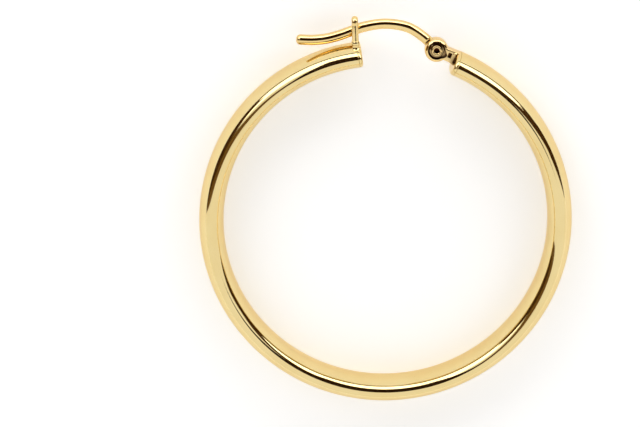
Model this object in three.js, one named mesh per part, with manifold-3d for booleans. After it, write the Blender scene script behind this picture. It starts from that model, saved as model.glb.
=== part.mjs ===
// A hinged hoop earring of polished gold, lying on its side as it rests on a table.
//
// An oval tube is bent into a ring that is open at the top. A bracket on one end of the tube
// carries the ear wire on a tubular rivet. A catch on the other end, one wire folded to a
// hairpin, stands beside the ear wire in front and curls under it. The ring, the bracket and
// the catch are soldered, so they are one solid.
//
// Frame: the ring's axis is +Z and the clasp is towards +Y. The front of the earring, where
// the catch stands, faces up. The origin is the middle of the bottom of the earring's box.
// Sizes are in millimetres. Angles are in degrees round the ring from the middle of the
// clasp, positive towards the hinge.

import * as THREE from 'three';
import { mergeVertices } from 'three/addons/utils/BufferGeometryUtils.js';
import Module from 'manifold-3d';

const wasm = await Module();
wasm.setup();

// Ring
const ringDiameter = 30; // outside
const tubeWidth = 4; // along the ring's axis
const tubeDepth = 2; // from the ring's outside to its inside
const rimRadius = 0.28; // rounding round each end of the tube
const hingeEndAngle = 22.5;
const catchEndAngle = -7.9;
const tuckAngle = -65; // from here to the catch the ring is bent a little tighter
const tuckDepth = 0.27; // how far that takes the catch end inside the true circle

// Hinge bracket, on the tube's end face
const barrelDiameter = 1.8;
const barrelWidth = 1.5; // along the pivot
const bracketEdge = 0.12; // rounding of the bracket's outline on both faces
const pivotReach = 1.62; // from the tube's end face to the pivot
const pivotOffset = 0.42; // from the tube's mid line outwards to the pivot
const neckTop = 0.89; // from the tube's mid line outwards to the neck's outer face
const neckBottom = -0.1; // the same to the neck's inner face
const neckSunk = 0.35; // how far the neck's root goes into the tube
const dishDiameter = 1.28; // the dish round the rivet's head on each face
const dishDepth = 0.12;

// Rivet
const rivetDiameter = 0.68;
const rivetBore = 0.44;
const rivetHeadDiameter = 0.92;
const rivetHeadHeight = 0.1;

// Ear wire
const wireDiameter = 0.84;
const archHeight = 1.06; // from the ring's outside to the wire's mid line at the crest
const eyeDiameter = 1.7;
const eyeWidth = 0.62; // flattened, along the pivot
const flatLength = 0.5; // over which the round wire turns into the flat eye
const tipRadius = 0.3; // rounding round the wire's free end

// Catch
const catchInset = 0.37; // from the tube's end face to the strand's mid line
const catchLean = 7.5; // towards the hinge, from straight out of the ring
const catchHeight = 2.34; // over the tube's outside
const strandWidth = 0.52; // along the tube
const strandThickness = 0.42;
const strandPitch = 0.5; // between the hairpin's two strands

// Clearances
const rivetPlay = 0.035; // round the rivet's shank
const headPlay = 0.03; // under the rivet's heads
const eyePlay = 0.04; // on each face of the eye
const slotPlay = 0.07; // round the eye, at the slot's floor
const wirePlay = 0.06; // between the ear wire and the catch

// Facets
const tubeSides = 24;
const tubeSteps = 92;
const rimSteps = 3;
const bevelSteps = 2;
const wireSides = 12;
const wireSteps = 40;
const strandSides = 12;
const strandSteps = 30;
const roundSides = 24;

// The wire's mid line after the pivot. "along" is the share of the way round the ring from
// the pivot to the catch, and "rise" is the share of archHeight over the ring's outside.
const wireBends = [
  { along: 0.195, rise: 0.27 },
  { along: 0.386, rise: 0.81 },
  { along: 0.64, rise: 1.0 },
  { along: 0.866, rise: 0.87 },
  { along: 1.0, rise: 0.71 },
  { along: 1.18, rise: 0.54 },
  { along: 1.325, rise: 0.58 },
  { along: 1.459, rise: 0.81 },
  { along: 1.635, rise: 1.39 },
];
const bendAtCatch = wireBends.find((bend) => bend.along === 1.0);

// The catch's outer strand. "height" is the share of catchHeight over the tube's outside, and
// "spread" is the share of strandPitch by which it stands off the inner strand.
const outerStrandBends = [
  { height: -0.13, spread: 0.42 },
  { height: 0.04, spread: 0.6 },
  { height: 0.25, spread: 0.9 },
  { height: 0.47, spread: 1.0 },
  { height: 0.68, spread: 0.98 },
];

// Where the fold between the two strands is given, as shares of its half turn.
const foldShares = [0.1, 0.5, 0.9];

// The inner strand, from the fold down and under the wire. "height" is the share of the gap
// from the tube's outside to the wire's underside, and "inward" is the share of the way from
// the inner strand to the earring's mid plane.
const seatBends = [
  { height: 1.7, inward: 0 },
  { height: 0.95, inward: 0.03 },
  { height: 0.5, inward: 0.3 },
  { height: 0.38, inward: 0.7 },
  { height: 0.33, inward: 1.2 },
  { height: -0.35, inward: 1.75 },
];

const ringRadius = ringDiameter / 2;
const wireRadius = wireDiameter / 2;
const barrelRadius = barrelDiameter / 2;
const midPlane = tubeWidth / 2;
const fullTurn = 2 * Math.PI;
const weldDistance = 1e-5;
const radians = THREE.MathUtils.degToRad;

const gold = { color: 0xe6b450, metalness: 1.0 };
const ringMaterial = new THREE.MeshStandardMaterial({ ...gold, roughness: 0.12 });
const wireMaterial = new THREE.MeshStandardMaterial({ ...gold, roughness: 0.16 });
const rivetMaterial = new THREE.MeshStandardMaterial({ ...gold, roughness: 0.22 });

// Directions and places round the ring, measured from its centre in its mid plane.

function outwardAt(angle) {
  return new THREE.Vector3(Math.sin(radians(angle)), Math.cos(radians(angle)), 0);
}

function forwardAt(angle) {
  return new THREE.Vector3(Math.cos(radians(angle)), -Math.sin(radians(angle)), 0);
}

function placeAt(angle, radius) {
  return outwardAt(angle).multiplyScalar(radius);
}

// The radius of the tube's outside. Past tuckAngle it shrinks smoothly towards the catch end.
function outsideRadiusAt(angle) {
  if (angle < tuckAngle || angle > 0) {
    return ringRadius;
  }
  const bend = (at) => 1 - Math.cos(radians(at - tuckAngle));
  return ringRadius - (tuckDepth * bend(angle)) / bend(catchEndAngle);
}

function midRadiusAt(angle) {
  return outsideRadiusAt(angle) - tubeDepth / 2;
}

// A length along the tube at a radius, as an angle.
function angleOf(length, radius) {
  return THREE.MathUtils.radToDeg(length / radius);
}

const catchRadius = midRadiusAt(catchEndAngle);
const hingeRadius = midRadiusAt(hingeEndAngle);
const catchAngle = catchEndAngle - angleOf(catchInset, catchRadius);
const alongAxis = new THREE.Vector3(0, 0, 1);

// The hinge's own frame: x is outwards, y runs past the tube's end face, z is along the pivot.
const hingeFrame = new THREE.Matrix4()
  .makeBasis(outwardAt(hingeEndAngle), forwardAt(hingeEndAngle).negate(), alongAxis)
  .setPosition(placeAt(hingeEndAngle, hingeRadius));
const pivot = new THREE.Vector3(pivotOffset, pivotReach, 0).applyMatrix4(hingeFrame);
const pivotAngle = THREE.MathUtils.radToDeg(Math.atan2(pivot.x, pivot.y));

// Makes an oval section for a sweep. Outward and across are unit directions in its plane, and
// outward x across points the way the sweep travels.
function section(centre, outward, across, halfDepth, halfWidth) {
  return { centre, outward, across, halfDepth, halfWidth };
}

// Sweeps the sections into one closed skin. Each is drawn with flats, not corners, on the oval.
function sweep(sections, sides) {
  const reach = 1 / Math.cos(Math.PI / sides);
  const positions = [];
  for (const { centre, outward, across, halfDepth, halfWidth } of sections) {
    for (let side = 0; side < sides; side += 1) {
      const turn = ((side + 0.5) * fullTurn) / sides;
      const point = centre
        .clone()
        .addScaledVector(outward, halfDepth * reach * Math.cos(turn))
        .addScaledVector(across, halfWidth * reach * Math.sin(turn));
      positions.push(point.x, point.y, point.z);
    }
  }
  const triangles = [];
  const lastRow = (sections.length - 1) * sides;
  for (let row = 0; row < lastRow; row += sides) {
    for (let side = 0; side < sides; side += 1) {
      const here = row + side;
      const next = row + ((side + 1) % sides);
      triangles.push(here, next, next + sides, here, next + sides, here + sides);
    }
  }
  for (let side = 1; side < sides - 1; side += 1) {
    triangles.push(0, side + 1, side);
    triangles.push(lastRow, lastRow + side, lastRow + side + 1);
  }
  const geometry = new THREE.BufferGeometry();
  geometry.setAttribute('position', new THREE.Float32BufferAttribute(positions, 3));
  geometry.setIndex(triangles);
  return geometry;
}

// Sections at the given shares of a curve, which lies in a plane at right angles to "across".
function sectionsAlong(curve, across, shares, halvesAt) {
  return shares.map((share) => {
    const outward = across.clone().cross(curve.getTangentAt(share)).normalize();
    const { depth, width } = halvesAt(share);
    return section(curve.getPointAt(share), outward, across, depth, width);
  });
}

// Even shares from nothing to the given share.
function evenShares(steps, upTo = 1) {
  return Array.from({ length: steps + 1 }, (_, step) => (upTo * step) / steps);
}

// How a rounded end of a tube or wire shrinks: "inset" at "back" from the end, end first.
function roundedEnd(radius) {
  return Array.from({ length: rimSteps }, (_, step) => {
    const turn = (step / rimSteps) * (Math.PI / 2);
    return { inset: radius * (1 - Math.sin(turn)), back: radius * (1 - Math.cos(turn)) };
  });
}

// Turns a closed geometry into a solid that can be joined and cut.
function solid(geometry) {
  const bare = geometry.clone();
  bare.deleteAttribute('normal');
  bare.deleteAttribute('uv');
  const merged = mergeVertices(bare, weldDistance);
  const mesh = new wasm.Mesh({
    numProp: 3,
    vertProperties: new Float32Array(merged.getAttribute('position').array),
    triVerts: new Uint32Array(merged.getIndex().array),
  });
  mesh.merge();
  return new wasm.Manifold(mesh);
}

// Turns a solid back into a named mesh.
function namedMesh(name, shape, material) {
  const { vertProperties, triVerts } = shape.getMesh();
  const geometry = new THREE.BufferGeometry();
  geometry.setAttribute('position', new THREE.Float32BufferAttribute(vertProperties, 3));
  geometry.setIndex(new THREE.Uint32BufferAttribute(triVerts, 1));
  const mesh = new THREE.Mesh(geometry, material);
  mesh.name = name;
  return mesh;
}

// A drum along the pivot, centred on it.
function drum(radius, height) {
  const geometry = new THREE.CylinderGeometry(radius, radius, height, roundSides);
  geometry.rotateX(Math.PI / 2);
  geometry.translate(pivot.x, pivot.y, 0);
  return solid(geometry);
}

// A shape turned round the pivot from a profile of radius and height, both from the pivot.
function turned(profile) {
  const points = profile.map(([radius, height]) => new THREE.Vector2(radius, height));
  if (THREE.ShapeUtils.area(points) < 0) {
    points.reverse();
  }
  const geometry = new THREE.LatheGeometry([...points, points[0]], roundSides);
  geometry.rotateX(Math.PI / 2);
  geometry.translate(pivot.x, pivot.y, 0);
  return solid(geometry);
}

// Sections of the tube. Its ends are rounded by a quarter circle of rimRadius.
function tubeSections() {
  const lastAngle = 360 + catchEndAngle;
  const at = (angle, inset) => {
    const folded = angle > 180 ? angle - 360 : angle;
    const centre = placeAt(folded, midRadiusAt(folded));
    const halfDepth = tubeDepth / 2 - inset;
    return section(centre, outwardAt(folded), alongAxis, halfDepth, tubeWidth / 2 - inset);
  };
  const rim = roundedEnd(rimRadius);
  const firstFull = hingeEndAngle + angleOf(rimRadius, hingeRadius);
  const lastFull = lastAngle - angleOf(rimRadius, catchRadius);
  const hingeRim = rim.map(({ inset, back }) =>
    at(hingeEndAngle + angleOf(back, hingeRadius), inset),
  );
  const catchRim = rim.map(({ inset, back }) => at(lastAngle - angleOf(back, catchRadius), inset));
  const full = evenShares(tubeSteps).map((share) =>
    at(THREE.MathUtils.lerp(firstFull, lastFull, share), 0),
  );
  return [...hingeRim, ...full, ...catchRim.reverse()];
}

// The bracket: a round barrel with a neck, drawn in the hinge's frame and soldered to the tube.
function bracketOutline() {
  const outline = new THREE.Shape();
  const topTurn = Math.asin((neckTop - pivotOffset) / barrelRadius);
  const bottomTurn = Math.asin((pivotOffset - neckBottom) / barrelRadius);
  const topMeets = pivotReach - barrelRadius * Math.cos(topTurn);
  outline.moveTo(neckTop, -neckSunk);
  outline.lineTo(neckTop, topMeets);
  outline.absarc(
    pivotOffset,
    pivotReach,
    barrelRadius,
    topTurn - Math.PI / 2,
    1.5 * Math.PI - bottomTurn,
    false,
  );
  outline.lineTo(neckBottom, pivotReach - barrelRadius);
  outline.lineTo(neckBottom - bracketEdge, 0);
  outline.lineTo(neckBottom - bracketEdge, -neckSunk);
  outline.closePath();
  return outline;
}

function bracketSolid() {
  const geometry = new THREE.ExtrudeGeometry(bracketOutline(), {
    depth: barrelWidth - 2 * bracketEdge,
    bevelEnabled: true,
    bevelThickness: bracketEdge,
    bevelSize: bracketEdge,
    bevelOffset: -bracketEdge,
    bevelSegments: bevelSteps,
    curveSegments: roundSides,
  });
  geometry.translate(0, 0, bracketEdge - barrelWidth / 2);
  geometry.applyMatrix4(hingeFrame);
  const slot = drum(eyeDiameter / 2 + slotPlay, eyeWidth + 2 * eyePlay);
  const bore = drum(rivetDiameter / 2 + rivetPlay, 2 * barrelWidth);
  const dishFloor = barrelWidth / 2 - dishDepth;
  const dishRadius = dishDiameter / 2;
  const dish = (side) =>
    turned([
      [0, side * dishFloor],
      [dishRadius - dishDepth, side * dishFloor],
      [dishRadius + dishDepth, side * (dishFloor + 2 * dishDepth)],
      [0, side * (dishFloor + 2 * dishDepth)],
    ]);
  return solid(geometry).subtract(slot).subtract(bore).subtract(dish(1)).subtract(dish(-1));
}

// The catch's own frame: x is the spread towards the front, y is up along the catch and z is
// along the tube. Its origin is on the tube's outside at the mid plane.
function catchCurve() {
  const up = outwardAt(catchAngle + catchLean);
  const root = placeAt(catchAngle, outsideRadiusAt(catchAngle));
  const wireHeight = archHeight * bendAtCatch.rise + ringRadius - outsideRadiusAt(catchAngle);
  const underWire = wireHeight - wireRadius;
  const innerSpread = wireRadius + wirePlay + strandThickness / 2;
  const at = (spread, height) =>
    root.clone().addScaledVector(alongAxis, spread).addScaledVector(up, height);
  const outer = outerStrandBends.map(({ height, spread }) =>
    at(innerSpread + spread * strandPitch, height * catchHeight),
  );
  const foldRadius = strandPitch / 2;
  const foldHeight = catchHeight - strandThickness / 2 - foldRadius;
  const fold = foldShares.map((share) => {
    const turn = share * Math.PI;
    const spread = innerSpread + foldRadius * (1 + Math.cos(turn));
    return at(spread, foldHeight + foldRadius * Math.sin(turn));
  });
  const inner = seatBends.map(({ height, inward }) =>
    at(innerSpread * (1 - inward), height * underWire),
  );
  return new THREE.CatmullRomCurve3([...outer, ...fold, ...inner], false, 'centripetal');
}

function catchSolid() {
  const alongTube = outwardAt(catchAngle + catchLean).cross(alongAxis).normalize();
  const halves = () => ({ depth: strandThickness / 2, width: strandWidth / 2 });
  const shares = evenShares(strandSteps);
  return solid(sweep(sectionsAlong(catchCurve(), alongTube, shares, halves), strandSides));
}

// The ear wire's mid line: out of the eye, over the gap, past the catch and up at its tail.
function wireCurve() {
  const points = wireBends.map(({ along, rise }) => {
    const angle = THREE.MathUtils.lerp(pivotAngle, catchAngle, along);
    return placeAt(angle, ringRadius + rise * archHeight);
  });
  return new THREE.CatmullRomCurve3([pivot.clone(), ...points], false, 'centripetal');
}

function wireSolid() {
  const curve = wireCurve();
  const length = curve.getLength();
  const clearOfEars = barrelRadius + slotPlay;
  const halvesAt = (share) => {
    const fromPivot = share * length;
    const roundness = THREE.MathUtils.smoothstep(fromPivot, clearOfEars, clearOfEars + flatLength);
    return { depth: wireRadius, width: THREE.MathUtils.lerp(eyeWidth / 2, wireRadius, roundness) };
  };
  const full = evenShares(wireSteps, 1 - tipRadius / length);
  const tip = roundedEnd(tipRadius).reverse().map(({ inset, back }) => {
    const half = wireRadius - inset;
    return sectionsAlong(curve, alongAxis, [1 - back / length], () => ({ depth: half, width: half }));
  });
  const sections = [...sectionsAlong(curve, alongAxis, full, halvesAt), ...tip.flat()];
  const shank = solid(sweep(sections, wireSides));
  const eye = drum(eyeDiameter / 2, eyeWidth);
  const bore = drum(rivetDiameter / 2 + rivetPlay, 2 * barrelWidth);
  return eye.add(shank).subtract(bore);
}

// The rivet: a tube flared to a flat head in the dish on each face.
function rivetSolid() {
  const headUnder = barrelWidth / 2 - dishDepth + headPlay;
  const headTop = headUnder + rivetHeadHeight;
  const shank = rivetDiameter / 2;
  const head = rivetHeadDiameter / 2;
  const bore = rivetBore / 2;
  return turned([
    [bore, -headTop],
    [head, -headTop],
    [head, -headUnder],
    [shank, -headUnder],
    [shank, headUnder],
    [head, headUnder],
    [head, headTop],
    [bore, headTop],
  ]);
}

const hoopSolid = solid(sweep(tubeSections(), tubeSides)).add(bracketSolid()).add(catchSolid());

const ringCentre = new THREE.Group();
ringCentre.add(namedMesh('hoop', hoopSolid, ringMaterial));
ringCentre.add(namedMesh('ear_wire', wireSolid(), wireMaterial));
ringCentre.add(namedMesh('hinge_rivet', rivetSolid(), rivetMaterial));

const box = new THREE.Box3().setFromObject(ringCentre);
ringCentre.position.set(-(box.min.x + box.max.x) / 2, -(box.min.y + box.max.y) / 2, midPlane);

const earring = new THREE.Group();
earring.add(ringCentre);

export default earring;
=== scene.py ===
"""A hinged hoop earring of polished yellow gold, lying on its side on a pale floor.

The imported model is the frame. Each sub-assembly is a class that holds its sizes, builds its
meshes and dresses them: the tube with its end caps, the hinge bracket, the rivet, the ear
wire and the catch. Lengths are in metres, written as millimetres times MM. Angles are in
degrees round the ring from the middle of the clasp, positive towards the hinge. The front of
the earring, where the catch stands, faces up.
"""

from __future__ import annotations

import logging
import math
from collections.abc import Iterable, Sequence
from dataclasses import dataclass, replace
from enum import Enum

import bmesh
import bpy
import numpy as np
from mathutils import Matrix, Vector

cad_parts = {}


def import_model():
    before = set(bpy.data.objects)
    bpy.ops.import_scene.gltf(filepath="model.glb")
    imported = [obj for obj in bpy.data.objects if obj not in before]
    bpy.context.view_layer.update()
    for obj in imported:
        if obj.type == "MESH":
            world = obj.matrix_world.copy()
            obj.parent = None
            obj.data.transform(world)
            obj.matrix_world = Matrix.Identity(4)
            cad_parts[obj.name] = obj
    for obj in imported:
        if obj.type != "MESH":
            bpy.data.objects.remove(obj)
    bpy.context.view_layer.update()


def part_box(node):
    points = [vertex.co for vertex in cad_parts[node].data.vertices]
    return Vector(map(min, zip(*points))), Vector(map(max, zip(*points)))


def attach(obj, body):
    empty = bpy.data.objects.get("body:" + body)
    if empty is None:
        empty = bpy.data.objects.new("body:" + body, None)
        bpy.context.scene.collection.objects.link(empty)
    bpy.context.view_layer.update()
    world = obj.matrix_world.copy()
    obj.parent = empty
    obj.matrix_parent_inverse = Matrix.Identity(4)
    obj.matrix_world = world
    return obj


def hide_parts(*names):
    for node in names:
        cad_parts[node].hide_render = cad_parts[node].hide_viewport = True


MM = 0.001
X_AXIS = Vector((1.0, 0.0, 0.0))
Y_AXIS = Vector((0.0, 1.0, 0.0))
UP = Vector((0.0, 0.0, 1.0))
QUARTER = math.pi / 2
CREASE = 40.0  # degrees from which an edge stays sharp
PHOTO_WIDTH = 640
LOG = logging.getLogger("hoop_earring")

Colour = tuple[float, float, float]
WHITE: Colour = (1.0, 1.0, 1.0)


class Body(Enum):
    """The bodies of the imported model."""

    RING = "ring_body"
    WIRE = "wire_body"


class Slot(Enum):
    """The material slots, one named by each standing."""

    RING = "ring_gold"
    WIRE = "wire_gold"
    RIVET = "rivet_gold"


class Join(Enum):
    """How a form goes into a cast shape."""

    ADD = "UNION"
    CUT = "DIFFERENCE"


def put(name: str, data: bpy.types.ID) -> bpy.types.Object:
    """Puts a new object into the scene.

    Args:
        name: Its name.
        data: Its mesh or camera.

    Returns:
        The object.
    """
    made = bpy.data.objects.new(name, data)
    bpy.context.scene.collection.objects.link(made)
    return made


@dataclass(frozen=True)
class Standing:
    """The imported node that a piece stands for, the body it rides on and its slot."""

    node: str
    body: Body
    slot: Slot

    def show(self, name: str, mesh: bpy.types.Mesh, finish: PolishedGold) -> bpy.types.Object:
        """Shows a mesh, smooth apart from its creases, and hands it to the frame.

        Args:
            name: The piece's name.
            mesh: Its mesh, already in its place.
            finish: Its surface.

        Returns:
            The piece.
        """
        mesh.shade_smooth()
        mesh.set_sharp_from_angle(angle=math.radians(CREASE))
        mesh.materials.clear()
        mesh.materials.append(finish.material())
        piece = put(name, mesh)
        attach(piece, self.body.value)
        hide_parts(self.node)
        return piece


ON_HOOP = Standing("hoop", Body.RING, Slot.RING)
ON_WIRE = Standing("ear_wire", Body.WIRE, Slot.WIRE)
ON_RIVET = Standing("hinge_rivet", Body.RING, Slot.RIVET)


@dataclass(frozen=True)
class PolishedGold:
    """A yellow gold surface: its tones, painted shade in its crevices, its polish and its fine
    marks.
    """

    name: str
    pale: Colour
    deep: Colour
    # the colour of the painted shade in crevices and recesses
    painted_shade: Colour
    smoothest: float
    roughest: float
    scratch_strength: float
    edge_tint: Colour = (0.96, 0.86, 0.7)  # what the gold keeps of the light at a glancing angle
    tone_size: float = 3.0 * MM
    tone_detail: float = 2.0
    all_deep: float = 0.3  # the noise up to which the tone is the deep one
    all_pale: float = 0.62  # the noise from which it is the pale one
    wear_size: float = 0.9 * MM
    wear_detail: float = 5.0
    least_worn: float = 0.35  # the noise up to which the polish is the smoothest
    most_worn: float = 0.7  # the noise from which it is the roughest
    scratch_size: float = 0.05 * MM
    scratch_detail: float = 3.0
    scratch_depth: float = 0.002 * MM
    crevice: float = 0.22 * MM  # the reach over which painted shade darkens crevices and recesses
    fully_shaded: float = 0.12  # the openness up to which a place gets the full painted shade
    unshaded: float = 0.5  # the openness from which a place gets no painted shade

    def material(self) -> bpy.types.Material:
        """Builds the material, or finds it if it is built already.

        Returns:
            The material with its nodes.
        """
        made = bpy.data.materials.get(self.name)
        if made is not None:
            return made
        made = bpy.data.materials.new(self.name)
        made.use_nodes = True
        tree = made.node_tree
        shader = tree.nodes["Principled BSDF"]
        shader.inputs["Metallic"].default_value = 1.0
        shader.inputs["Specular Tint"].default_value = (*self.edge_tint, 1.0)
        tree.links.new(self._tone(tree), shader.inputs["Base Color"])
        tree.links.new(self._polish(tree), shader.inputs["Roughness"])
        tree.links.new(self._scratches(tree), shader.inputs["Normal"])
        return made

    def _noise(
        self, tree: bpy.types.NodeTree, size: float, detail: float
    ) -> bpy.types.NodeSocket:
        """Adds a noise in the piece's own coordinates.

        Args:
            tree: The material's nodes.
            size: About how large its patches are.
            detail: How many finer layers it has.

        Returns:
            The noise's value.
        """
        noise = tree.nodes.new("ShaderNodeTexNoise")
        noise.inputs["Scale"].default_value = 1.0 / size
        noise.inputs["Detail"].default_value = detail
        place = tree.nodes.new("ShaderNodeTexCoord").outputs["Object"]
        tree.links.new(place, noise.inputs["Vector"])
        return noise.outputs["Fac"]

    def _ramp(
        self,
        tree: bpy.types.NodeTree,
        value: bpy.types.NodeSocket,
        low: tuple[float, Colour],
        high: tuple[float, Colour],
    ) -> bpy.types.NodeSocket:
        """Adds a ramp between two colours.

        Args:
            tree: The material's nodes.
            value: What it reads.
            low: The value up to which it is the first colour, and that colour.
            high: The value from which it is the second colour, and that colour.

        Returns:
            The colour.
        """
        ramp = tree.nodes.new("ShaderNodeValToRGB")
        for stop, (at, colour) in zip(ramp.color_ramp.elements, (low, high), strict=True):
            stop.position = at
            stop.color = (*colour, 1.0)
        tree.links.new(value, ramp.inputs["Fac"])
        return ramp.outputs["Color"]

    def _tone(self, tree: bpy.types.NodeTree) -> bpy.types.NodeSocket:
        """Adds the drift between the two golds, darkened by painted shade where the surface closes
        in.

        Args:
            tree: The material's nodes.

        Returns:
            The colour.
        """
        noise = self._noise(tree, self.tone_size, self.tone_detail)
        drift = self._ramp(tree, noise, (self.all_deep, self.deep), (self.all_pale, self.pale))
        # painted shade: ambient occlusion darkens the colour in crevices and recesses
        corner = tree.nodes.new("ShaderNodeAmbientOcclusion")
        corner.inputs["Distance"].default_value = self.crevice
        openness = corner.outputs["AO"]
        crevice_shade = self._ramp(tree, openness, (self.fully_shaded, self.painted_shade), (self.unshaded, WHITE))
        blend = tree.nodes.new("ShaderNodeMix")
        blend.data_type = "RGBA"
        blend.blend_type = "MULTIPLY"
        blend.inputs["Factor"].default_value = 1.0
        tree.links.new(drift, blend.inputs["A"])
        tree.links.new(crevice_shade, blend.inputs["B"])
        return blend.outputs["Result"]

    def _polish(self, tree: bpy.types.NodeTree) -> bpy.types.NodeSocket:
        """Adds the patches where the polish is finer or duller.

        Args:
            tree: The material's nodes.

        Returns:
            The roughness.
        """
        spread = tree.nodes.new("ShaderNodeMapRange")
        spread.inputs["From Min"].default_value = self.least_worn
        spread.inputs["From Max"].default_value = self.most_worn
        spread.inputs["To Min"].default_value = self.smoothest
        spread.inputs["To Max"].default_value = self.roughest
        noise = self._noise(tree, self.wear_size, self.wear_detail)
        tree.links.new(noise, spread.inputs["Value"])
        return spread.outputs["Result"]

    def _scratches(self, tree: bpy.types.NodeTree) -> bpy.types.NodeSocket:
        """Adds hair-fine polishing marks.

        Args:
            tree: The material's nodes.

        Returns:
            The bumped normal.
        """
        bump = tree.nodes.new("ShaderNodeBump")
        bump.inputs["Strength"].default_value = self.scratch_strength
        bump.inputs["Distance"].default_value = self.scratch_depth
        marks = self._noise(tree, self.scratch_size, self.scratch_detail)
        tree.links.new(marks, bump.inputs["Height"])
        return bump.outputs["Normal"]


RING_GOLD = PolishedGold(
    name="ring_polished_gold",
    pale=(0.83, 0.665, 0.325),
    deep=(0.81, 0.63, 0.29),
    # painted shade: a light darkening in crevices
    painted_shade=(0.35, 0.2, 0.1),
    smoothest=0.06,
    roughest=0.1,
    scratch_strength=0.25,
)
HINGE_GOLD = replace(
    RING_GOLD,
    name="hinge_polished_gold",
    pale=(0.88, 0.655, 0.31),
    deep=(0.86, 0.62, 0.28),
    # painted shade: near black over a wide reach, darkening the dish, slot and joints
    painted_shade=(0.08, 0.035, 0.015),
    smoothest=0.05,
    roughest=0.12,
    crevice=0.7 * MM,
    fully_shaded=0.45,
    unshaded=0.92,
)
WIRE_GOLD = PolishedGold(
    name="wire_polished_gold",
    pale=(0.87, 0.655, 0.3),
    deep=(0.83, 0.6, 0.25),
    # painted shade: a light darkening in crevices
    painted_shade=(0.35, 0.2, 0.1),
    smoothest=0.04,
    roughest=0.1,
    scratch_strength=0.35,
)
RIVET_GOLD = PolishedGold(
    name="rivet_burnished_gold",
    pale=(0.86, 0.63, 0.29),
    deep=(0.8, 0.54, 0.22),
    # painted shade: near black in the holes and round the lips
    painted_shade=(0.05, 0.015, 0.01),
    smoothest=0.06,
    roughest=0.15,
    scratch_strength=0.45,
    crevice=0.6 * MM,
    fully_shaded=0.3,
    unshaded=0.7,
)


def shares(steps: int) -> list[float]:
    """Returns evenly spaced shares from nought to one, both included."""
    return [step / steps for step in range(steps + 1)]


@dataclass(frozen=True)
class Corner:
    """A corner of an outline or profile, and how far its rounding reaches along the edges."""

    x: float
    y: float
    rounding: float = 0.0


def soften(corners: Sequence[Corner], steps: int = 6) -> list[Vector]:
    """Rounds the corners of a closed outline.

    Args:
        corners: The corners in order.
        steps: How many stretches each rounding has.

    Returns:
        The outline's points.
    """
    points: list[Vector] = []
    count = len(corners)
    for number, corner in enumerate(corners):
        here = Vector((corner.x, corner.y))
        if corner.rounding == 0.0:
            points.append(here)
            continue
        before, after = corners[number - 1], corners[(number + 1) % count]
        start = here + (Vector((before.x, before.y)) - here).normalized() * corner.rounding
        end = here + (Vector((after.x, after.y)) - here).normalized() * corner.rounding
        points.extend(
            start.lerp(here, share).lerp(here.lerp(end, share), share) for share in shares(steps)
        )
    return points


def rounding(radius: float, steps: int) -> list[tuple[float, float]]:
    """Works out how a rounded end draws in.

    Args:
        radius: The rounding's radius.
        steps: How many stretches it has.

    Returns:
        Pairs of the inset and the distance from the end, the end first.
    """
    turns = [QUARTER * step / steps for step in range(steps + 1)]
    return [(radius * (1 - math.sin(turn)), radius * (1 - math.cos(turn))) for turn in turns]


class BentLine:
    """A smooth line through points, read by the share of its length."""

    NUDGE = 0.004  # the share of the length, each way, that a tangent is read over

    def __init__(self, points: Sequence[Vector], steps: int = 60) -> None:
        """Bends the line.

        Args:
            points: What it runs through.
            steps: How many stretches it has between two points.
        """
        given = np.array([tuple(point) for point in points])
        padded = np.vstack([2 * given[0] - given[1], given, 2 * given[-1] - given[-2]])
        along = np.linspace(0.0, 1.0, steps, endpoint=False)[:, None]
        stretches = [
            self._stretch(padded[number : number + 4], along) for number in range(len(given) - 1)
        ]
        self._track = np.vstack([*stretches, given[-1]])
        lengths = np.linalg.norm(np.diff(self._track, axis=0), axis=1)
        self._marks = np.concatenate([[0.0], np.cumsum(lengths)])

    @staticmethod
    def _stretch(four: np.ndarray, along: np.ndarray) -> np.ndarray:
        """Bends the line between the middle two of four points, the centripetal way."""
        before, here, there, after = four
        first, second, third = np.sqrt(np.linalg.norm(np.diff(four, axis=0), axis=1))
        leaving = (here - before) / first - (there - before) / (first + second)
        leaving = (leaving + (there - here) / second) * second
        coming = (there - here) / second - (after - here) / (second + third)
        coming = (coming + (after - there) / third) * second
        square = 3 * (there - here) - 2 * leaving - coming
        cube = 2 * (here - there) + leaving + coming
        return here + leaving * along + square * along**2 + cube * along**3

    @property
    def length(self) -> float:
        """The line's whole length."""
        return float(self._marks[-1])

    def point(self, share: float) -> Vector:
        """Returns the place at a share of the length."""
        mark = share * self.length
        return Vector([float(np.interp(mark, self._marks, side)) for side in self._track.T])

    def tangent(self, share: float) -> Vector:
        """Returns the direction of travel at a share of the length."""
        ahead, behind = min(1.0, share + self.NUDGE), max(0.0, share - self.NUDGE)
        return (self.point(ahead) - self.point(behind)).normalized()


@dataclass(frozen=True)
class Oval:
    """One oval section of a swept form."""

    centre: Vector
    outward: Vector
    across: Vector
    half_depth: float
    half_width: float
    crest: float = 0.0  # how far its two crests lie inwards of its middle

    def points(self, sides: int) -> list[Vector]:
        """Returns the points round the oval."""
        points = []
        for side in range(sides):
            turn = math.tau * side / sides
            out = self.half_depth * math.cos(turn) - self.crest * math.sin(turn) ** 2
            aside = self.half_width * math.sin(turn)
            points.append(self.centre + self.outward * out + self.across * aside)
        return points


def circle(centre: Vector, radius: float, sides: int) -> list[Vector]:
    """Returns the points of a level circle."""
    return Oval(centre, X_AXIS, Y_AXIS, radius, radius).points(sides)


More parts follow.
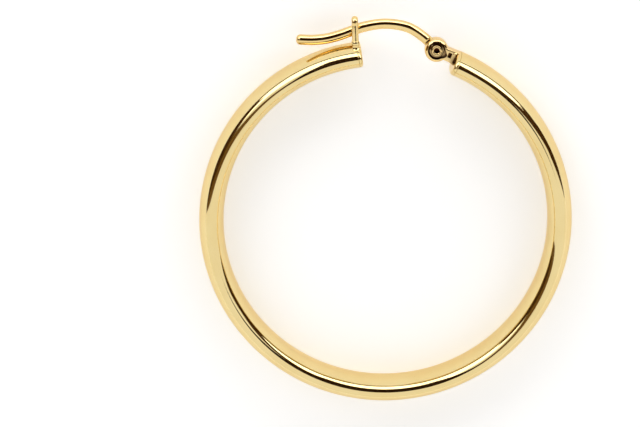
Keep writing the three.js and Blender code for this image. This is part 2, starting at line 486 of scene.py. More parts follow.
class Skin:
    """The points and faces of one surface, laid down a ring at a time."""

    def __init__(self) -> None:
        """Starts an empty surface."""
        self.points: list[Vector] = []
        self.faces: list[tuple[int, ...]] = []
        self.rings: list[range] = []

    def ring(self, points: Iterable[Vector]) -> None:
        """Adds a ring and joins it to the one before.

        Args:
            points: As many as every other ring has.
        """
        start = len(self.points)
        self.points.extend(points)
        added = range(start, len(self.points))
        if self.rings:
            self._bridge(self.rings[-1], added)
        self.rings.append(added)

    def _bridge(self, first: range, second: range) -> None:
        """Adds a band of faces between two rings."""
        count = len(first)
        for side in range(count):
            after = (side + 1) % count
            self.faces.append((first[side], first[after], second[after], second[side]))

    def cap(self) -> None:
        """Closes both ends with a flat face."""
        self.faces.append(tuple(reversed(self.rings[0])))
        self.faces.append(tuple(self.rings[-1]))

    def loop(self) -> None:
        """Joins the last ring to the first."""
        self._bridge(self.rings[-1], self.rings[0])

    def mesh(self, name: str) -> bpy.types.Mesh:
        """Makes the mesh, with every face turned outwards.

        Args:
            name: The mesh's name.

        Returns:
            The mesh.
        """
        made = bpy.data.meshes.new(name)
        made.from_pydata([tuple(point) for point in self.points], [], self.faces)
        turned = bmesh.new()
        turned.from_mesh(made)
        bmesh.ops.recalc_face_normals(turned, faces=turned.faces)
        turned.to_mesh(made)
        turned.free()
        return made


def swept(ovals: Sequence[Oval], sides: int) -> Skin:
    """Sweeps ovals into a closed surface.

    Args:
        ovals: The sections in order.
        sides: How many points each has.

    Returns:
        The surface.
    """
    skin = Skin()
    for oval in ovals:
        skin.ring(oval.points(sides))
    skin.cap()
    return skin


def turned(
    profile: Sequence[Sequence[float]], middle: Vector, sides: int, ring: bool = True
) -> Skin:
    """Turns a profile round an upright line.

    Args:
        profile: Pairs of radius and height.
        middle: Where the line meets height nought.
        sides: How many points go round.
        ring: Whether the profile closes on itself; if not, its two ends are capped.

    Returns:
        The surface.
    """
    skin = Skin()
    for radius, height in profile:
        skin.ring(circle(middle + UP * height, radius, sides))
    if ring:
        skin.loop()
    else:
        skin.cap()
    return skin


def prism(outline: Sequence[Vector], height: float, edge: float = 0.0, steps: int = 4) -> Skin:
    """Raises an outline into a slab about height nought, with its edges rounded.

    Args:
        outline: The points in order, in the plane.
        height: The slab's whole height.
        edge: The rounding's radius.
        steps: How many stretches the rounding has.

    Returns:
        The surface.
    """
    count = len(outline)
    sides = [outline[(number + 1) % count] - outline[number - 1] for number in range(count)]
    inward = [Vector((-side.y, side.x)).normalized() for side in sides]
    area = sum(
        outline[number - 1].x * outline[number].y - outline[number].x * outline[number - 1].y
        for number in range(count)
    )
    turn = 1.0 if area > 0 else -1.0
    rolled = rounding(edge, steps) if edge else [(0.0, 0.0)]
    levels = [(inset, height / 2 - back) for inset, back in rolled]
    skin = Skin()
    lower = [(inset, -level) for inset, level in levels]
    for inset, level in [*lower, *reversed(levels)]:
        ring = [point + side * (turn * inset) for point, side in zip(outline, inward, strict=True)]
        skin.ring(Vector((point.x, point.y, level)) for point in ring)
    skin.cap()
    return skin


class CastShape:
    """A soft-edged form, joined and cut from simple ones in millimetres and then smoothed.

    It is made a thousand times its size, because the remesher takes no finer grain than a
    tenth of a millimetre.
    """

    SOFTNESS = 0.5  # how far each smoothing moves a point towards its neighbours

    def __init__(self, name: str, start: Skin) -> None:
        """Starts the shape.

        Args:
            name: Its name.
            start: The form that the others go into.
        """
        self._helpers: list[bpy.types.Object] = []
        self._shape = self._helper(name, start)

    def _helper(self, name: str, skin: Skin) -> bpy.types.Object:
        """Puts a form into the scene until the shape is finished."""
        helper = put(name, skin.mesh(name))
        self._helpers.append(helper)
        return helper

    def take(self, skin: Skin, how: Join) -> None:
        """Adds or cuts a form.

        Args:
            skin: The form.
            how: Whether it is added or cut.
        """
        step = self._shape.modifiers.new(how.name, "BOOLEAN")
        step.operation = how.value
        step.solver = "EXACT"
        step.object = self._helper(f"{self._shape.name}_{len(self._helpers)}", skin)

    def finish(self, grain: float, passes: int, to_frame: Matrix) -> bpy.types.Mesh:
        """Smooths the shape and takes it out.

        Args:
            grain: The remesher's grain, in millimetres.
            passes: How often it is smoothed.
            to_frame: From the shape's millimetres to its place in the frame.

        Returns:
            The finished mesh.
        """
        grains = self._shape.modifiers.new("grain", "REMESH")
        grains.mode = "VOXEL"
        grains.voxel_size = grain
        soft = self._shape.modifiers.new("soft", "SMOOTH")
        soft.factor = self.SOFTNESS
        soft.iterations = passes
        bpy.context.view_layer.update()
        ready = self._shape.evaluated_get(bpy.context.evaluated_depsgraph_get())
        mesh = bpy.data.meshes.new_from_object(ready)
        mesh.transform(to_frame)
        for helper in self._helpers:
            bpy.data.objects.remove(helper)
        return mesh


@dataclass(frozen=True)
class RingLine:
    """The line that the tube follows: a circle, bent a little tighter towards the catch."""

    centre: Vector
    radius: float = 15.0 * MM
    tube_width: float = 4.0 * MM
    tube_depth: float = 2.0 * MM
    hinge_end: float = 22.5
    catch_end: float = -7.9
    catch_inset: float = 0.37 * MM  # from the tube's end back to the catch
    tuck_from: float = -65.0
    tuck: float = 0.27 * MM
    crest: float = 0.07 * MM  # bending left the tube's two crests a little nearer its inside

    @classmethod
    def from_frame(cls) -> RingLine:
        """Finds the ring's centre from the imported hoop's box."""
        low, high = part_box("hoop")
        return cls(Vector(((low.x + high.x) / 2, low.y + cls.radius, (low.z + high.z) / 2)))

    @staticmethod
    def outward(angle: float) -> Vector:
        """Returns the direction out of the ring."""
        return Vector((math.sin(math.radians(angle)), math.cos(math.radians(angle)), 0.0))

    @staticmethod
    def forward(angle: float) -> Vector:
        """Returns the direction round the ring, towards larger angles."""
        return Vector((math.cos(math.radians(angle)), -math.sin(math.radians(angle)), 0.0))

    def at(self, angle: float, radius: float, height: float = 0.0) -> Vector:
        """Returns a place by its angle, its radius and its height over the mid plane."""
        return self.centre + self.outward(angle) * radius + UP * height

    def outside(self, angle: float) -> float:
        """Returns the radius of the tube's outside."""
        if angle < self.tuck_from or angle > 0.0:
            return self.radius

        def bend(at: float) -> float:
            """Returns how far the ring has bent in."""
            return 1.0 - math.cos(math.radians(at - self.tuck_from))

        return self.radius - self.tuck * bend(angle) / bend(self.catch_end)

    def middle(self, angle: float) -> float:
        """Returns the radius of the tube's mid line."""
        return self.outside(angle) - self.tube_depth / 2

    def crown(self, angle: float, height: float) -> float:
        """Returns the radius of the tube's outside at a height over the mid plane."""
        share = min(1.0, abs(height) / (self.tube_width / 2))
        bulge = self.tube_depth / 2 * math.sqrt(1.0 - share * share)
        return self.middle(angle) + bulge - self.crest * share * share

    def oval(self, angle: float, inset: float) -> Oval:
        """Returns the tube's section, drawn in by the inset."""
        folded = angle - 360.0 if angle > 180.0 else angle
        centre = self.at(folded, self.middle(folded))
        half_depth, half_width = self.tube_depth / 2 - inset, self.tube_width / 2 - inset
        return Oval(centre, self.outward(folded), UP, half_depth, half_width, self.crest)

    def degrees(self, length: float) -> float:
        """Returns a length along the tube's mid line as an angle."""
        return math.degrees(length / (self.radius - self.tube_depth / 2))

    def angle_of(self, point: Vector) -> float:
        """Returns the angle of a place."""
        arm = point - self.centre
        return math.degrees(math.atan2(arm.x, arm.y))

    @property
    def catch_angle(self) -> float:
        """The catch's angle."""
        return self.catch_end - math.degrees(self.catch_inset / self.middle(self.catch_end))


@dataclass
class Tube:
    """The oval tube and the cap that closes each of its ends."""

    ring: RingLine
    finish: PolishedGold = RING_GOLD
    standing: Standing = ON_HOOP
    cap_length: float = 0.31 * MM
    cap_rim: float = 0.28 * MM
    cap_flat: float = 0.05 * MM  # a narrow band that keeps the flat face flat beside its rim
    seam_edge: float = 0.045 * MM
    sides: int = 112
    steps: int = 600
    rim_steps: int = 8
    seam_steps: int = 3

    def build(self) -> list[bpy.types.Object]:
        """Builds the tube and its two caps.

        Returns:
            The three pieces.
        """
        last = 360.0 + self.ring.catch_end
        cap_turn = self.ring.degrees(self.cap_length)
        return [
            self._tube(self.ring.hinge_end + cap_turn, last - cap_turn),
            self._cap("hinge_end_cap", self.ring.hinge_end, 1.0),
            self._cap("catch_end_cap", last, -1.0),
        ]

    def _tube(self, first: float, last: float) -> bpy.types.Object:
        """Builds the tube between its seams.

        Args:
            first: The angle of the hinge's seam.
            last: The angle of the catch's seam, past a whole turn.

        Returns:
            The tube.
        """
        seam = rounding(self.seam_edge, self.seam_steps)
        start = [self.ring.oval(first + self.ring.degrees(back), inset) for inset, back in seam]
        end = [self.ring.oval(last - self.ring.degrees(back), inset) for inset, back in seam]
        span = last - first - 2 * self.ring.degrees(self.seam_edge)
        low = first + self.ring.degrees(self.seam_edge)
        between = [
            self.ring.oval(low + span * step / self.steps, 0.0) for step in range(1, self.steps)
        ]
        skin = swept([*start, *between, *reversed(end)], self.sides)
        return self.standing.show("hoop_tube", skin.mesh("hoop_tube"), self.finish)

    def _cap(self, name: str, end: float, way: float) -> bpy.types.Object:
        """Builds an end cap.

        Args:
            name: Its name.
            end: The angle of its flat face.
            way: 1 where the tube goes on to larger angles, and -1 where to smaller ones.

        Returns:
            The cap.
        """
        rim = [(self.cap_rim + self.cap_flat, 0.0), *rounding(self.cap_rim, self.rim_steps)]
        seam = rounding(self.seam_edge, self.seam_steps)
        levels = [*rim, *((inset, self.cap_length - back) for inset, back in reversed(seam))]
        ovals = [
            self.ring.oval(end + way * self.ring.degrees(back), inset) for inset, back in levels
        ]
        return self.standing.show(name, swept(ovals, self.sides).mesh(name), self.finish)


@dataclass
class HingeBracket:
    """The two round ears and the neck that hold the rivet, soldered to the hinge's end cap.

    Its shape is cast in millimetres: x runs out of the ring, y on past the tube's end face and
    z up, from the middle of that face.
    """

    ring: RingLine
    pivot: Vector
    finish: PolishedGold = HINGE_GOLD
    standing: Standing = ON_HOOP
    barrel_radius: float = 0.95
    barrel_width: float = 1.5
    barrel_edge: float = 0.36
    neck_width: float = 1.42
    neck_edge: float = 0.13
    neck_top: float = 0.93
    neck_bottom: float = -0.08
    neck_flare: float = 0.14
    neck_fillet: float = 0.32
    neck_sunk: float = 0.35
    eye_radius: float = 0.85
    eye_width: float = 0.62
    slot_play: float = 0.07
    eye_play: float = 0.04
    bore_radius: float = 0.375
    dish_radius: float = 0.7
    dish_foot: float = 0.44
    dish_depth: float = 0.3
    dish_rise: float = 0.11  # how far its floor rises from its wall to the rivet
    spout_reach: float = 0.94
    spout_turn: float = -4.0  # degrees from straight down the neck, outwards being positive
    spout_rounding: float = 0.16
    notch_low: tuple[float, float] = (0.31, 0.4)
    notch_high: tuple[float, float] = (0.67, 0.66)
    notch_depth: float = 0.38
    bead_centre: tuple[float, float] = (0.68, 0.1)
    bead_radius: float = 0.19
    bead_level: float = 0.6
    sides: int = 96
    edge_steps: int = 8
    grain: float = 0.022
    passes: int = 4

    def build(self) -> list[bpy.types.Object]:
        """Builds the bracket.

        Returns:
            The one piece.
        """
        outward = self.ring.outward(self.ring.hinge_end)
        beyond = -self.ring.forward(self.ring.hinge_end)
        foot = self.ring.at(self.ring.hinge_end, self.ring.middle(self.ring.hinge_end))
        axes = Matrix((outward, beyond, UP)).transposed().to_4x4()
        to_frame = Matrix.Translation(foot) @ axes @ Matrix.Scale(MM, 4)
        pivot = to_frame.inverted() @ self.pivot
        barrel = self._drum(pivot, self.barrel_radius, self.barrel_width, self.barrel_edge)
        shape = CastShape("hinge_bracket", barrel)
        shape.take(self._neck(pivot), Join.ADD)
        shape.take(self._drum(pivot, self.eye_radius + self.slot_play, self._slot()), Join.CUT)
        shape.take(self._drum(pivot, self.bore_radius, 2 * self.barrel_width), Join.CUT)
        for side in (1.0, -1.0):
            shape.take(self._dish(pivot, side), Join.CUT)
            shape.take(self._spout(pivot, side), Join.CUT)
            shape.take(self._notch(side), Join.CUT)
            shape.take(self._bead(side), Join.ADD)
        mesh = shape.finish(self.grain, self.passes, to_frame)
        return [self.standing.show("hinge_bracket", mesh, self.finish)]

    def _slot(self) -> float:
        """Returns the width of the slot that the eye turns in."""
        return self.eye_width + 2 * self.eye_play

    def _drum(self, pivot: Vector, radius: float, width: float, edge: float = 0.0) -> Skin:
        """Makes a round slab about the pivot, with its edges rolled."""
        outline = [point.xy for point in circle(pivot, radius, self.sides)]
        return prism(outline, width, edge, self.edge_steps)

    def _neck(self, pivot: Vector) -> Skin:
        """Makes the neck from inside the tube to inside the barrel."""
        reach = pivot.y - self.barrel_radius / 2
        corners = [
            Corner(self.neck_top, -self.neck_sunk),
            Corner(self.neck_top, reach),
            Corner(self.neck_bottom, reach),
            Corner(self.neck_bottom, self.neck_fillet, self.neck_fillet),
            Corner(self.neck_bottom - self.neck_flare, 0.0),
            Corner(self.neck_bottom - self.neck_flare, -self.neck_sunk),
        ]
        return prism(soften(corners), self.neck_width, self.neck_edge, self.edge_steps)

    def _dish(self, pivot: Vector, side: float) -> Skin:
        """Makes the cutter for the dish round the rivet, whose floor falls towards its wall.

        Args:
            pivot: The barrel's middle.
            side: 1 for the upper face and -1 for the lower.

        Returns:
            The cutter.
        """
        face = self.barrel_width / 2
        profile = []
        for share in shares(self.edge_steps):
            radius = self.dish_foot + (self.dish_radius - self.dish_foot) * share
            height = face - self.dish_depth + self.dish_rise * (1 - share * share)
            profile.append((radius, side * height))
        profile.append((self.dish_radius, side * (face + self.dish_depth)))
        return turned(profile, Vector((*pivot.xy, 0.0)), self.sides, ring=False)

    def _spout(self, pivot: Vector, side: float) -> Skin:
        """Makes the cutter that draws the dish out to a point down the neck.

        Args:
            pivot: The barrel's middle.
            side: 1 for the upper face and -1 for the lower.

        Returns:
            The cutter.
        """
        turn = math.radians(self.spout_turn)
        down = Vector((math.sin(turn), -math.cos(turn)))
        across = Vector((math.cos(turn), math.sin(turn)))
        slope = math.acos(self.dish_radius / self.spout_reach)
        touch = pivot.xy + down * math.cos(slope) * self.dish_radius
        aside = across * math.sin(slope) * self.dish_radius
        tip = pivot.xy + down * self.spout_reach
        corners = [
            Corner(*(touch - aside)),
            Corner(*tip, self.spout_rounding),
            Corner(*(touch + aside)),
        ]
        slab = prism(soften(corners), 2 * self.dish_depth)
        lift = side * self.barrel_width / 2
        slab.points = [point + UP * lift for point in slab.points]
        return slab

    def _notch(self, side: float) -> Skin:
        """Makes the cutter for the small notch across the neck on one face."""
        (low_x, low_y), (high_x, high_y) = self.notch_low, self.notch_high
        around = ((low_x, low_y), (high_x, low_y), (high_x, high_y), (low_x, high_y))
        skin = Skin()
        for level in (self.barrel_width / 2 - self.notch_depth, self.barrel_width):
            skin.ring(Vector((x, y, side * level)) for x, y in around)
        skin.cap()
        return skin

    def _bead(self, side: float) -> Skin:
        """Makes the bead of solder where the neck meets the tube on one face."""
        profile = []
        for step in range(1, 2 * self.edge_steps):
            turn = QUARTER * step / self.edge_steps
            level = side * self.bead_level - self.bead_radius * math.cos(turn)
            profile.append((self.bead_radius * math.sin(turn), level))
        return turned(profile, Vector((*self.bead_centre, 0.0)), self.sides, ring=False)


@dataclass
class HingeRivet:
    """The rivet, with a deep hole in each end and a rounded lip round each hole."""

    pivot: Vector
    finish: PolishedGold = RIVET_GOLD
    standing: Standing = ON_RIVET
    web: float = 0.2 * MM
    bore: float = 0.21 * MM
    shank: float = 0.34 * MM
    head: float = 0.43 * MM
    head_under: float = 0.36 * MM
    head_top: float = 0.74 * MM
    lip: float = 0.11 * MM
    sides: int = 72

    def build(self) -> list[bpy.types.Object]:
        """Builds the rivet.

        Returns:
            The one piece.
        """
        half = [
            Corner(self.lip / 4, self.web),
            Corner(self.bore, self.web, self.lip / 2),
            Corner(self.bore, self.head_top, self.lip),
            Corner(self.head, self.head_top, self.lip),
            Corner(self.head, self.head_under, self.lip / 4),
            Corner(self.shank, self.head_under),
        ]
        other = [Corner(corner.x, -corner.y, corner.rounding) for corner in reversed(half)]
        skin = turned(soften([*half, *other]), self.pivot, self.sides, ring=False)
        mesh = skin.mesh("hinge_rivet_tube")
        return [self.standing.show("hinge_rivet_tube", mesh, self.finish)]


@dataclass(frozen=True)
class WireBend:
    """A bend of the ear wire."""

    along: float  # the share of the way round the ring from the pivot to the catch
    rise: float  # the share of the arch's height over the ring's outside


WIRE_BENDS = (
    WireBend(along=0.195, rise=0.27),
    WireBend(along=0.386, rise=0.81),
    WireBend(along=0.64, rise=1.0),
    WireBend(along=0.866, rise=0.87),
    WireBend(along=1.0, rise=0.71),
    WireBend(along=1.18, rise=0.54),
    WireBend(along=1.325, rise=0.58),
    WireBend(along=1.459, rise=0.81),
    WireBend(along=1.635, rise=1.39),
)


@dataclass
class EarWire:
    """The round wire that goes through the ear, and the flat eye that it turns on."""

    ring: RingLine
    pivot: Vector
    finish: PolishedGold = WIRE_GOLD
    standing: Standing = ON_WIRE
    radius: float = 0.42 * MM
    arch_height: float = 1.03 * MM
    eye_radius: float = 0.85 * MM
    eye_width: float = 0.62 * MM
    eye_bore: float = 0.375 * MM
    eye_edge: float = 0.07 * MM
    root: float = 0.5 * MM  # where the wire starts inside the eye, from the pivot
    root_thinner: float = 0.01 * MM
    clear_of_ears: float = 0.99 * MM
    flat_length: float = 0.16 * MM
    tip: float = 0.34 * MM
    sides: int = 56
    steps: int = 360
    tip_steps: int = 10

    def line(self) -> BentLine:
        """Returns the wire's mid line, from the pivot to its tip."""
        pivot_angle = self.ring.angle_of(self.pivot)
        points = [self.pivot]
        for bend in WIRE_BENDS:
            angle = pivot_angle + (self.ring.catch_angle - pivot_angle) * bend.along
            points.append(self.ring.at(angle, self.ring.radius + bend.rise * self.arch_height))
        return BentLine(points)

    def build(self) -> list[bpy.types.Object]:
        """Builds the wire and its eye."""
        return [self._wire(), self._eye()]

    def _halves(self, from_pivot: float) -> tuple[float, float]:
        """Returns the wire's half depth and half width, flat at the eye and round past it."""
        share = (from_pivot - self.clear_of_ears) / self.flat_length
        share = max(0.0, min(1.0, share))
        roundness = math.sqrt(share * (2 - share))
        flat = self.eye_width / 2 - self.root_thinner
        return self.radius, flat + (self.radius - flat) * roundness

    def _wire(self) -> bpy.types.Object:
        """Builds the wire.

        Returns:
            The wire.
        """
        line = self.line()
        first, last = self.root / line.length, 1.0 - self.tip / line.length
        ovals = []
        for step in range(self.steps + 1):
            share = first + (last - first) * step / self.steps
            depth, width = self._halves(share * line.length)
            outward = UP.cross(line.tangent(share)).normalized()
            ovals.append(Oval(line.point(share), outward, UP, depth, width))
        outward = UP.cross(line.tangent(1.0)).normalized()
        for inset, back in reversed(rounding(self.tip, self.tip_steps)[:-1]):
            centre = line.point(1.0 - back / line.length)
            ovals.append(Oval(centre, outward, UP, self.radius - inset, self.radius - inset))
        mesh = swept(ovals, self.sides).mesh("ear_wire_arch")
        return self.standing.show("ear_wire_arch", mesh, self.finish)

    def _eye(self) -> bpy.types.Object:
        """Builds the flat eye.

        Returns:
            The eye.
        """
        half = self.eye_width / 2
        corners = [
            Corner(self.eye_bore, half, self.eye_edge / 2),
            Corner(self.eye_bore, -half, self.eye_edge / 2),
            Corner(self.eye_radius, -half, self.eye_edge),
            Corner(self.eye_radius, half, self.eye_edge),
        ]
        mesh = turned(soften(corners), self.pivot, self.sides * 2).mesh("ear_wire_eye")
        return self.standing.show("ear_wire_eye", mesh, self.finish)


@dataclass(frozen=True)
class OuterBend:
    """A bend of the catch's outer strand."""

    height: float  # the share of the catch's height over the tube's outside
    spread: float  # the share of the pitch by which it stands off the inner strand


@dataclass(frozen=True)
class SeatBend:
    """A bend of the catch's inner strand, down and under the ear wire."""

    height: float  # the share of the gap from the tube's outside to the wire's underside
    inward: float  # the share of the way from the inner strand to the mid plane


OUTER_BENDS = (
    OuterBend(height=-0.16, spread=1.03),
    OuterBend(height=0.04, spread=1.05),
    OuterBend(height=0.25, spread=1.04),
    OuterBend(height=0.47, spread=1.03),
    OuterBend(height=0.68, spread=1.01),
)
FOLD_SHARES = (0.1, 0.5, 0.9)
SEAT_BENDS = (
    SeatBend(height=1.7, inward=0.0),
    SeatBend(height=0.95, inward=0.03),
    SeatBend(height=0.5, inward=0.3),
    SeatBend(height=0.38, inward=0.7),
    SeatBend(height=0.33, inward=1.2),
    SeatBend(height=-0.35, inward=1.75),
)


@dataclass
class Catch:
    """The folded wire beside the ear wire, with solder at its two feet and a bead of it above."""

    ring: RingLine
    wire: EarWire
    finish: PolishedGold = WIRE_GOLD
    solder: PolishedGold = RING_GOLD
    standing: Standing = ON_HOOP
    lean: float = 7.5
    height: float = 2.3 * MM
    strand_width: float = 0.52 * MM
    strand_thickness: float = 0.42 * MM
    pitch: float = 0.5 * MM
    play: float = 0.06 * MM
    fillet_height: float = 0.2 * MM
    fillet_reach: float = 0.12 * MM
    fillet_sunk: float = 0.01 * MM
    bead_rise: float = 0.38 * MM  # from the tube to the middle of the bead round the outer strand
    bead_half: float = 0.17 * MM
    bead_swell: float = 0.07 * MM
    sides: int = 36
    steps: int = 220
    fillet_steps: int = 8

    def build(self) -> list[bpy.types.Object]:
        """Builds the folded wire and its solder.

        Returns:
            The four pieces.
        """
        line = self._line()
        along = self.ring.outward(self.ring.catch_angle + self.lean).cross(UP).normalized()
        depth, width = self.strand_thickness / 2, self.strand_width / 2
        parts = shares(self.steps)
        ovals = []
        for share in parts:
            outward = along.cross(line.tangent(share)).normalized()
            ovals.append(Oval(line.point(share), outward, along, depth, width))
        mesh = swept(ovals, self.sides).mesh("catch_strand")
        outer = self._first_over(line, parts, 0.0)
        bead = self._first_over(line, parts, self.bead_rise)
        inner = self._first_over(line, reversed(parts), 0.0)
        return [
            self.standing.show("catch_strand", mesh, self.finish),
            self._bead(line, bead, along),
            self._fillet("catch_front_solder", line.point(outer)),
            self._fillet("catch_seat_solder", line.point(inner)),
        ]

    def _first_over(self, line: BentLine, parts: Iterable[float], rise: float) -> float:
        """Returns the first share of the line that is further outside the tube than the rise."""
        return next(share for share in parts if self._clear(line.point(share)) > rise)

    def _bead(self, line: BentLine, share: float, along: Vector) -> bpy.types.Object:
        """Builds the bead of solder round the outer strand.

        Args:
            line: The strand's mid line.
            share: Where its middle is, as a share of the line.
            along: The direction across the strand, in the tube's run.

        Returns:
            The bead.
        """
        middle, way = line.point(share), line.tangent(share)
        outward = along.cross(way).normalized()
        ovals = []
        for step in range(1, 2 * self.fillet_steps):
            turn = QUARTER * step / self.fillet_steps
            swell = self.bead_swell * math.sin(turn)
            shift = way * (-self.bead_half * math.cos(turn))
            depth, width = self.strand_thickness / 2 + swell, self.strand_width / 2 + swell
            ovals.append(Oval(middle + shift, outward, along, depth, width))
        mesh = swept(ovals, self.sides).mesh("catch_bead")
        return self.standing.show("catch_bead", mesh, self.solder)

    def _clear(self, point: Vector) -> float:
        """Returns how far a place is outside the tube."""
        arm = point - self.ring.centre
        return arm.xy.length - self.ring.crown(self.ring.angle_of(point), arm.z)

    def _line(self) -> BentLine:
        """Returns the strand's mid line, from the front foot over the fold to the seat."""
        angle = self.ring.catch_angle
        up = self.ring.outward(angle + self.lean)
        outside = self.ring.outside(angle)
        root = self.ring.at(angle, outside)
        at_catch = next(bend for bend in WIRE_BENDS if bend.along == 1.0)
        wire_height = self.wire.arch_height * at_catch.rise + self.ring.radius - outside
        under_wire = wire_height - self.wire.radius
        inner = self.wire.radius + self.play + self.strand_thickness / 2
        fold_radius = self.pitch / 2
        fold_height = self.height - self.strand_thickness / 2 - fold_radius
        points = [
            root + UP * (inner + bend.spread * self.pitch) + up * (bend.height * self.height)
            for bend in OUTER_BENDS
        ]
        for share in FOLD_SHARES:
            turn = share * math.pi
            spread = inner + fold_radius * (1 + math.cos(turn))
            points.append(root + UP * spread + up * (fold_height + fold_radius * math.sin(turn)))
        points.extend(
            root + UP * (inner * (1 - bend.inward)) + up * (bend.height * under_wire)
            for bend in SEAT_BENDS
        )
        return BentLine(points)

    def _fillet(self, name: str, foot: Vector) -> bpy.types.Object:
        """Builds the hollow curve of solder round a foot, on the tube's own surface.

        Args:
            name: The piece's name.
            foot: Where the strand's mid line meets the tube.

        Returns:
            The solder.
        """
        angle, height = self.ring.angle_of(foot), foot.z - self.ring.centre.z
        skin = Skin()
        for above, beyond in rounding(1.0, self.fillet_steps):
            rise = self.fillet_height * above - self.fillet_sunk
            skin.ring(self._around(angle, height, self.fillet_reach * beyond, rise))
        skin.cap()
        return self.standing.show(name, skin.mesh(name), self.solder)

    def _around(self, angle: float, height: float, grown: float, rise: float) -> list[Vector]:
        """Returns a ring of places round a foot.

        Args:
            angle: The foot's angle.
            height: The foot's height over the mid plane.
            grown: How far the ring stands off the strand.
            rise: How far it is over the tube's surface.

        Returns:
            The places.
        """
        places = []
        for side in range(self.sides):
            turn = math.tau * side / self.sides
            aside = math.cos(turn) * (self.strand_width / 2 + grown)
            level = height + math.sin(turn) * (self.strand_thickness / 2 + grown)
            there = angle + math.degrees(aside / self.ring.radius)
            places.append(self.ring.at(there, self.ring.crown(there, level) + rise, level))
        return places


@dataclass(frozen=True)
class Card:
    """A dark card in the studio, bent round the Y axis so that it faces the earring.

    Each corner is given by its turn from straight up towards +X and its rise towards +Y.
    """

    name: str
    colour: Colour
    nearness: float  # how far it is, as a share of the cards' common reach
    low_left: tuple[float, float]
    low_right: tuple[float, float]
    high_right: tuple[float, float]
    high_left: tuple[float, float]

    def at(self, along: float, up: float) -> tuple[float, float]:
        """Returns the turn and rise at two shares, from the left and from the low side."""
        low, high = (
            [start + (end - start) * along for start, end in zip(left, right, strict=True)]
            for left, right in (
                (self.low_left, self.low_right),
                (self.high_left, self.high_right),
            )
        )
        turn, rise = (start + (end - start) * up for start, end in zip(low, high, strict=True))
        return turn, rise


BLACK: Colour = (0.024, 0.011, 0.004)
BROWN: Colour = (0.15, 0.085, 0.025)
UMBER: Colour = (0.062, 0.028, 0.008)
CARDS = (
    Card("front_card", BLACK, 1.0, (-9.0, -7.0), (24.0, -7.0), (40.0, 50.0), (-28.0, 52.0)),
    Card("left_card", BROWN, 1.0, (-92.0, -8.5), (-6.0, -4.0), (-14.0, 14.0), (-92.0, 24.0)),
    Card("left_flag", UMBER, 0.97, (-104.0, -9.0), (-58.0, 5.0), (-64.0, 38.0), (-104.0, 38.0)),
    Card("right_card", UMBER, 0.27, (20.0, 18.0), (100.0, 4.0), (100.0, 22.0), (20.0, 38.0)),
    Card("right_flag", UMBER, 0.97, (54.0, 5.0), (104.0, -9.0), (104.0, 30.0), (68.0, 30.0)),
)


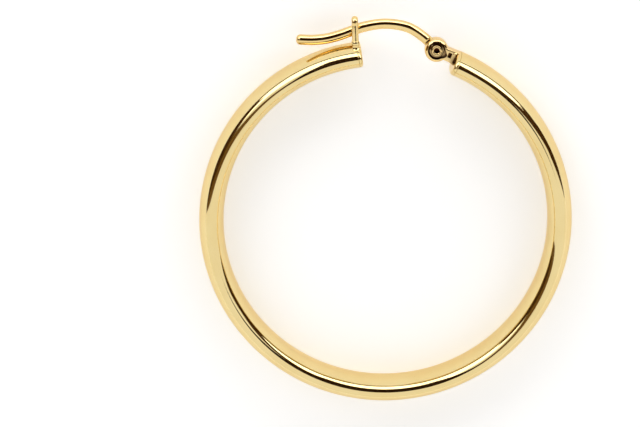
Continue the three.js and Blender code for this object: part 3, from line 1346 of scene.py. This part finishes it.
@dataclass
class Studio:
    """The pale floor, the light, the cards that the gold mirrors, and the camera."""

    ring: RingLine
    floor_size: float = 6.0
    floor_colour: Colour = (0.86, 0.86, 0.86)
    floor_glow: float = 0.41
    sky_colour: Colour = WHITE
    sky_strength: float = 1.0
    card_reach: float = 0.3  # how far the cards are from the earring
    box_reach: float = 1.6  # how far the soft box is
    box_half_width: float = 3.2
    box_low: float = 0.2
    box_high: float = 2.0
    box_glow: float = 1.7
    strip_reach: float = 1.4
    strip_height: float = 0.17
    strip_height_at_ends: float = 0.33
    strip_half_turn: float = 80.0
    strip_colour: Colour = (0.06, 0.035, 0.01)
    sheet_steps: int = 24
    sheet_roughness: float = 0.9
    camera_distance: float = 267.0 * MM
    azimuth: float = -2.0
    elevation: float = 13.85
    lens: float = 186.76
    sensor: float = 36.0
    centre_right: float = 65.75  # pixels from the picture's middle to the ring's centre
    centre_down: float = 6.55
    nearest: float = 0.01
    furthest: float = 20.0

    def build(self) -> None:
        """Builds the whole setting."""
        self._sky()
        self._floor()
        self._soft_box()
        self._strip()
        for card in CARDS:
            self._card(card)
        self._camera()
        bpy.context.scene.view_settings.view_transform = "Standard"

    def _sky(self) -> None:
        """Lights everything evenly from all round."""
        world = bpy.data.worlds.new("even_light")
        world.use_nodes = True
        light = world.node_tree.nodes["Background"]
        light.inputs["Color"].default_value = (*self.sky_colour, 1.0)
        light.inputs["Strength"].default_value = self.sky_strength
        bpy.context.scene.world = world

    def _sheet(
        self, name: str, columns: Sequence[Sequence[Vector]], colour: Colour, glow: float = 0.0
    ) -> bpy.types.Object:
        """Puts a plain sheet on the stage.

        Args:
            name: Its name.
            columns: Its points, in columns as long as each other.
            colour: Its colour.
            glow: The strength of its light.

        Returns:
            The sheet.
        """
        skin = Skin()
        rows = len(columns[0])
        for number, column in enumerate(columns):
            skin.points.extend(column)
            if number:
                first = (number - 1) * rows
                skin.faces.extend(
                    (here, here + rows, here + rows + 1, here + 1)
                    for here in range(first, first + rows - 1)
                )
        sheet = put(name, skin.mesh(name))
        paint = bpy.data.materials.new(name)
        paint.use_nodes = True
        shader = paint.node_tree.nodes["Principled BSDF"]
        shader.inputs["Base Color"].default_value = (*colour, 1.0)
        shader.inputs["Roughness"].default_value = self.sheet_roughness
        shader.inputs["Specular IOR Level"].default_value = 0.0
        shader.inputs["Emission Color"].default_value = (*colour, 1.0)
        shader.inputs["Emission Strength"].default_value = glow
        sheet.data.materials.append(paint)
        return sheet

    def _floor(self) -> None:
        """Lays the pale floor."""
        half = self.floor_size / 2
        columns = [[Vector((x, y, 0.0)) for y in (-half, half)] for x in (-half, half)]
        self._sheet("pale_floor", columns, self.floor_colour, self.floor_glow)

    def _soft_box(self) -> None:
        """Stands the large white light at the back."""
        sides, levels = (-self.box_half_width, self.box_half_width), (self.box_low, self.box_high)
        columns = [[Vector((x, self.box_reach, z)) for z in levels] for x in sides]
        self._sheet("soft_box", columns, WHITE, self.box_glow)

    def _strip(self) -> None:
        """Stands the dim strip on the floor in front of the soft box."""
        columns = []
        for step in range(self.sheet_steps + 1):
            share = 2 * step / self.sheet_steps - 1
            turn = math.radians(self.strip_half_turn * share)
            spot = Vector((math.sin(turn), math.cos(turn), 0.0)) * self.strip_reach
            taller = (self.strip_height_at_ends - self.strip_height) * share**2
            columns.append((spot, spot + UP * (self.strip_height + taller)))
        self._sheet("dim_strip", columns, self.strip_colour)

    def _card(self, card: Card) -> None:
        """Hangs a card.

        Args:
            card: Its corners and its colour.
        """
        parts = shares(self.sheet_steps)
        columns = []
        for along in parts:
            column = []
            for up in parts:
                turn, rise = (math.radians(angle) for angle in card.at(along, up))
                way = Vector((math.sin(turn), math.tan(rise), math.cos(turn)))
                column.append(self.ring.centre + way * self.card_reach * card.nearness)
            columns.append(column)
        hung = self._sheet(card.name, columns, card.colour)
        hung.visible_camera = False  # so that the earring can be seen from every side

    def _camera(self) -> None:
        """Sets the camera up at the photograph's angle to the earring."""
        azimuth, elevation = math.radians(self.azimuth), math.radians(self.elevation)
        back = Vector(
            (
                math.sin(azimuth) * math.cos(elevation),
                math.sin(elevation),
                math.cos(azimuth) * math.cos(elevation),
            )
        )
        right = Vector((math.cos(azimuth), 0.0, -math.sin(azimuth)))
        turn = Matrix((right, back.cross(right), back)).transposed().to_4x4()
        data = bpy.data.cameras.new("photo_camera")
        data.sensor_width = self.sensor
        data.lens = self.lens
        data.shift_x = -self.centre_right / PHOTO_WIDTH
        data.shift_y = self.centre_down / PHOTO_WIDTH
        data.clip_start = self.nearest
        data.clip_end = self.furthest
        camera = put("photo_camera", data)
        spot = self.ring.centre + back * self.camera_distance
        camera.matrix_world = Matrix.Translation(spot) @ turn
        bpy.context.scene.camera = camera


def main() -> None:
    """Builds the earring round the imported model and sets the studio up."""
    logging.basicConfig(level=logging.INFO, format="%(message)s")
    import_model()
    ring = RingLine.from_frame()
    low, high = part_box("hinge_rivet")
    pivot = (low + high) / 2
    Studio(ring).build()
    wire = EarWire(ring, pivot)
    for part in (Tube(ring), HingeBracket(ring, pivot), HingeRivet(pivot), wire, Catch(ring, wire)):
        for piece in part.build():
            LOG.info("%s has %d faces", piece.name, len(piece.data.polygons))


if __name__ == "__main__":
    main()
